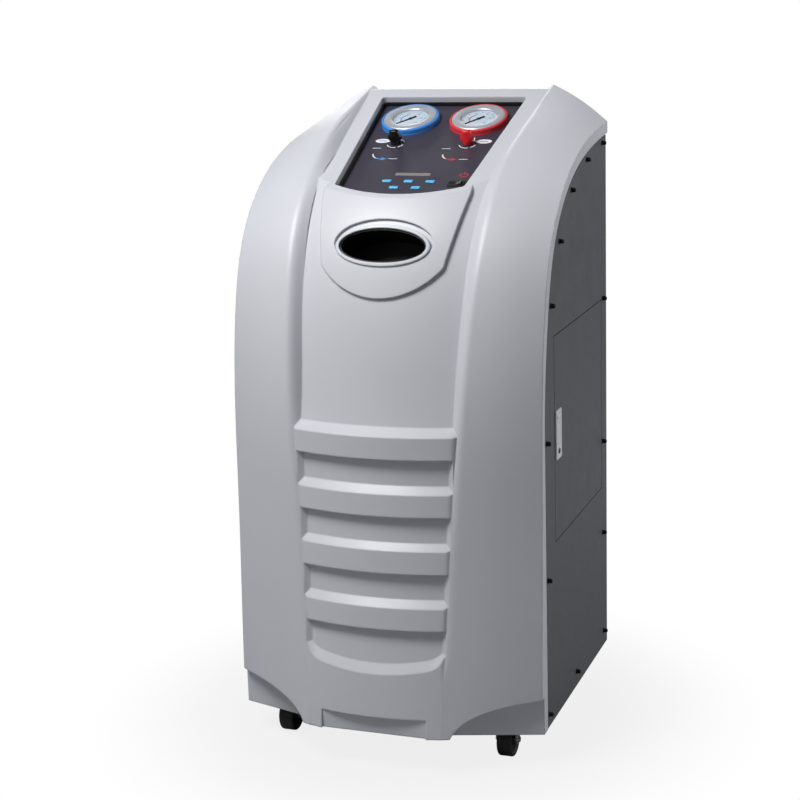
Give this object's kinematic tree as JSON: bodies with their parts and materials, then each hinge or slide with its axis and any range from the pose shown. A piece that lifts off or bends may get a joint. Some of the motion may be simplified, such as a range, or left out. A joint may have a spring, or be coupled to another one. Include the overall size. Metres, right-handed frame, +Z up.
{
  "type": "refrigerant recharge machine",
  "caption": "Wheeled service cabinet with a ribbed plastic front, round gauges and valve knobs in a sloping recess, sheet-metal sides with a service door, and recovery equipment inside.",
  "frame": {"origin": "on the floor, at the centre of the machine's bounding box", "axes": "+X to the right seen from the front, -Y out of the front cover, +Z up"},
  "size_m": [0.463, 0.4726, 0.9116],
  "materials": {
    "cover_plastic": "satin, lightly textured moulded plastic, silver grey",
    "dark_sheet": "charcoal powder coat, fine texture",
    "panel_overlay": "dark slate overlay film, matt",
    "cup_plastic": "black moulded plastic, matt",
    "display_screen": "liquid crystal display behind clear film",
    "board": "circuit board with solder mask",
    "key_plastic": "light blue keys, glossy",
    "switch_plastic": "black switch plastic",
    "gauge_steel": "turned steel gauge case, satin",
    "boot_blue": "blue rubber boot, matt",
    "boot_red": "red rubber boot, matt",
    "dial_card": "white printed aluminium dial",
    "pointer_paint": "black painted aluminium pointer",
    "clear_lens": "clear gauge glass",
    "knob_black": "black moulded knob",
    "knob_red": "red moulded knob",
    "brass_block": "machined brass",
    "machine_aluminium": "machined aluminium",
    "plain_sheet": "zinc-plated sheet steel",
    "frame_paint": "black powder coat on square tube",
    "screw_black": "black oxide screw heads",
    "latch_metal": "satin chromed latch",
    "castor_steel": "zinc-plated pressed steel",
    "castor_tread": "black rubber castor wheel",
    "pedal_plastic": "red brake pedal",
    "tank_paint": "grey painted pressure vessel",
    "compressor_paint": "black painted steel shell",
    "pump_casting": "painted aluminium casting",
    "drier_paint": "painted steel filter shell",
    "fan_plastic": "black glass-filled plastic"
  },
  "bodies": {
    "cabinet": {"front_cover": "cover_plastic", "grip_cup": "cup_plastic", "instrument_panel": "panel_overlay", "display": "display_screen", "control_board": "board", "power_switch_housing": "switch_plastic", "manifold_block": "brass_block", "left_side_panel": "dark_sheet", "right_side_panel": "dark_sheet", "rear_panel": "dark_sheet", "base_tray": "plain_sheet", "chassis_frame": "frame_paint", "equipment_shelf": "plain_sheet", "panel_screws": "screw_black", "castor_plates": "castor_steel", "storage_tank": "tank_paint", "weighing_scale": "machine_aluminium", "compressor": "compressor_paint", "vacuum_pump": "pump_casting", "condenser": "machine_aluminium", "fan_shroud": "fan_plastic", "filter_drier": "drier_paint", "service_ports": "brass_block", "power_inlet": "switch_plastic", "low_gauge_case": "gauge_steel", "low_gauge_boot": "boot_blue", "low_gauge_dial": "dial_card", "low_gauge_lens": "clear_lens", "high_gauge_case": "gauge_steel", "high_gauge_boot": "boot_red", "high_gauge_dial": "dial_card", "high_gauge_lens": "clear_lens"},
    "service_door": {"service_door": "dark_sheet", "latch_housing": "latch_metal"},
    "latch_paddle": {"latch_paddle": "latch_metal"},
    "latch_button": {"latch_button": "switch_plastic"},
    "key_1": {"key_1": "key_plastic"},
    "key_2": {"key_2": "key_plastic"},
    "key_3": {"key_3": "key_plastic"},
    "key_4": {"key_4": "key_plastic"},
    "key_5": {"key_5": "key_plastic"},
    "power_rocker": {"power_rocker": "switch_plastic"},
    "low_gauge_pointer": {"low_gauge_pointer": "pointer_paint"},
    "low_valve_knob": {"low_valve_knob": "knob_black"},
    "high_gauge_pointer": {"high_gauge_pointer": "pointer_paint"},
    "high_valve_knob": {"high_valve_knob": "knob_red"},
    "tank_liquid_handwheel": {"tank_liquid_handwheel": "knob_black"},
    "tank_gas_handwheel": {"tank_gas_handwheel": "knob_red"},
    "fan_rotor": {"fan_rotor": "fan_plastic"},
    "castor_fork_front_left": {"castor_fork_front_left": "castor_steel"},
    "castor_wheel_front_left": {"castor_wheel_front_left": "castor_tread"},
    "brake_pedal_front_left": {"brake_pedal_front_left": "pedal_plastic"},
    "castor_fork_front_right": {"castor_fork_front_right": "castor_steel"},
    "castor_wheel_front_right": {"castor_wheel_front_right": "castor_tread"},
    "brake_pedal_front_right": {"brake_pedal_front_right": "pedal_plastic"},
    "castor_fork_rear_left": {"castor_fork_rear_left": "castor_steel"},
    "castor_wheel_rear_left": {"castor_wheel_rear_left": "castor_tread"},
    "castor_fork_rear_right": {"castor_fork_rear_right": "castor_steel"},
    "castor_wheel_rear_right": {"castor_wheel_rear_right": "castor_tread"}
  },
  "joints": [
    {"name": "service_door_hinge", "type": "hinge", "parent": "cabinet", "child": "service_door", "pos_m": [0.22, 0.1823, 0.4515], "axis": [0, 0, 1], "range_deg": [0, 100]},
    {"name": "latch_paddle_hinge", "type": "hinge", "parent": "service_door", "child": "latch_paddle", "pos_m": [0.225, -0.067, 0.4825], "axis": [0, -1, 0], "range_deg": [0, 35], "stiffness_Nm_per_rad": 0.02},
    {"name": "latch_button_slide", "type": "slide", "parent": "service_door", "child": "latch_button", "axis": [-1, 0, 0], "range_m": [0, 0.0015], "stiffness_N_per_m": 400},
    {"name": "key_1_slide", "type": "slide", "parent": "cabinet", "child": "key_1", "axis": [0, 0.3659, -0.9307], "range_m": [0, 0.0008], "stiffness_N_per_m": 400},
    {"name": "key_2_slide", "type": "slide", "parent": "cabinet", "child": "key_2", "axis": [0, 0.3659, -0.9307], "range_m": [0, 0.0008], "stiffness_N_per_m": 400},
    {"name": "key_3_slide", "type": "slide", "parent": "cabinet", "child": "key_3", "axis": [0, 0.3659, -0.9307], "range_m": [0, 0.0008], "stiffness_N_per_m": 400},
    {"name": "key_4_slide", "type": "slide", "parent": "cabinet", "child": "key_4", "axis": [0, 0.3659, -0.9307], "range_m": [0, 0.0008], "stiffness_N_per_m": 400},
    {"name": "key_5_slide", "type": "slide", "parent": "cabinet", "child": "key_5", "axis": [0, 0.3659, -0.9307], "range_m": [0, 0.0008], "stiffness_N_per_m": 400},
    {"name": "power_rocker_hinge", "type": "hinge", "parent": "cabinet", "child": "power_rocker", "pos_m": [0.072, -0.02508, 0.79362], "axis": [0, 0.9307, 0.3659], "range_deg": [0, 16]},
    {"name": "low_gauge_pointer_turn", "type": "hinge", "parent": "cabinet", "child": "low_gauge_pointer", "pos_m": [-0.053, 0.14639, 0.86855], "axis": [0, 0.3659, -0.9307], "range_deg": [0, 270], "stiffness_Nm_per_rad": 0.0005},
    {"name": "low_valve_turn", "type": "hinge", "parent": "cabinet", "child": "low_valve_knob", "pos_m": [-0.055, 0.08237, 0.84553], "axis": [0, 0.3659, -0.9307], "range_deg": [0, 90]},
    {"name": "high_gauge_pointer_turn", "type": "hinge", "parent": "cabinet", "child": "high_gauge_pointer", "pos_m": [0.053, 0.14639, 0.86855], "axis": [0, 0.3659, -0.9307], "range_deg": [0, 270], "stiffness_Nm_per_rad": 0.0005},
    {"name": "high_valve_turn", "type": "hinge", "parent": "cabinet", "child": "high_valve_knob", "pos_m": [0.055, 0.08237, 0.84553], "axis": [0, 0.3659, -0.9307], "range_deg": [0, 90]},
    {"name": "tank_liquid_valve_turn", "type": "hinge", "parent": "cabinet", "child": "tank_liquid_handwheel", "pos_m": [-0.128, 0.085, 0.475], "axis": [-1, 0, 0], "range_deg": [0, 720]},
    {"name": "tank_gas_valve_turn", "type": "hinge", "parent": "cabinet", "child": "tank_gas_handwheel", "pos_m": [-0.072, 0.085, 0.475], "axis": [1, 0, 0], "range_deg": [0, 720]},
    {"name": "fan_spin", "type": "hinge", "parent": "cabinet", "child": "fan_rotor", "pos_m": [0, 0.199, 0.712], "axis": [0, 1, 0], "continuous": true},
    {"name": "castor_swivel_front_left", "type": "hinge", "parent": "cabinet", "child": "castor_fork_front_left", "pos_m": [-0.166, -0.1135, 0.056], "axis": [0, 0, 1], "continuous": true},
    {"name": "castor_roll_front_left", "type": "hinge", "parent": "castor_fork_front_left", "child": "castor_wheel_front_left", "pos_m": [-0.166, -0.1315, 0.025], "axis": [1, 0, 0], "continuous": true},
    {"name": "brake_front_left", "type": "hinge", "parent": "castor_fork_front_left", "child": "brake_pedal_front_left", "pos_m": [-0.166, -0.1375, 0.0543], "axis": [1, 0, 0], "range_deg": [0, 12]},
    {"name": "castor_swivel_front_right", "type": "hinge", "parent": "cabinet", "child": "castor_fork_front_right", "pos_m": [0.166, -0.1135, 0.056], "axis": [0, 0, 1], "continuous": true},
    {"name": "castor_roll_front_right", "type": "hinge", "parent": "castor_fork_front_right", "child": "castor_wheel_front_right", "pos_m": [0.166, -0.1315, 0.025], "axis": [1, 0, 0], "continuous": true},
    {"name": "brake_front_right", "type": "hinge", "parent": "castor_fork_front_right", "child": "brake_pedal_front_right", "pos_m": [0.166, -0.1375, 0.0543], "axis": [1, 0, 0], "range_deg": [0, 12]},
    {"name": "castor_swivel_rear_left", "type": "hinge", "parent": "cabinet", "child": "castor_fork_rear_left", "pos_m": [-0.152, 0.18, 0.056], "axis": [0, 0, 1], "continuous": true},
    {"name": "castor_roll_rear_left", "type": "hinge", "parent": "castor_fork_rear_left", "child": "castor_wheel_rear_left", "pos_m": [-0.152, 0.162, 0.025], "axis": [1, 0, 0], "continuous": true},
    {"name": "castor_swivel_rear_right", "type": "hinge", "parent": "cabinet", "child": "castor_fork_rear_right", "pos_m": [0.152, 0.18, 0.056], "axis": [0, 0, 1], "continuous": true},
    {"name": "castor_roll_rear_right", "type": "hinge", "parent": "castor_fork_rear_right", "child": "castor_wheel_rear_right", "pos_m": [0.152, 0.162, 0.025], "axis": [1, 0, 0], "continuous": true}
  ]
}
